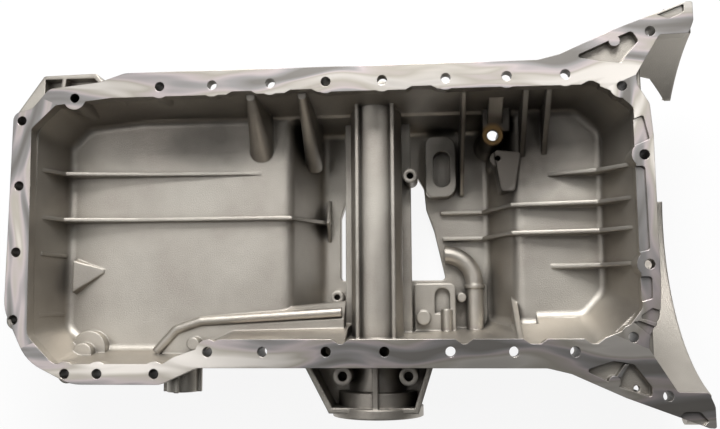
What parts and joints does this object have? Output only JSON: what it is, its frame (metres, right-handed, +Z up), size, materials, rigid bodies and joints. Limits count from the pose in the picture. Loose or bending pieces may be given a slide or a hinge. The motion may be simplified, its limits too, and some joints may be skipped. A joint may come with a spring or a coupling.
{
  "type": "engine oil pan",
  "caption": "Cast aluminium engine oil pan with a gasket rail, stepped sump, axle tunnel, side bearing carrier and half bell housing.",
  "frame": {"origin": "centre of the four outer row bolts, on the gasket face", "axes": "+X to the gearbox end, +Z up out of the sump, +Y away from the side bearing carrier"},
  "size_m": [0.633, 0.3738, 0.132],
  "materials": {
    "casting": "satin as-cast with machined faces"
  },
  "bodies": {
    "root": {"pan_casting": "casting"}
  },
  "joints": []
}
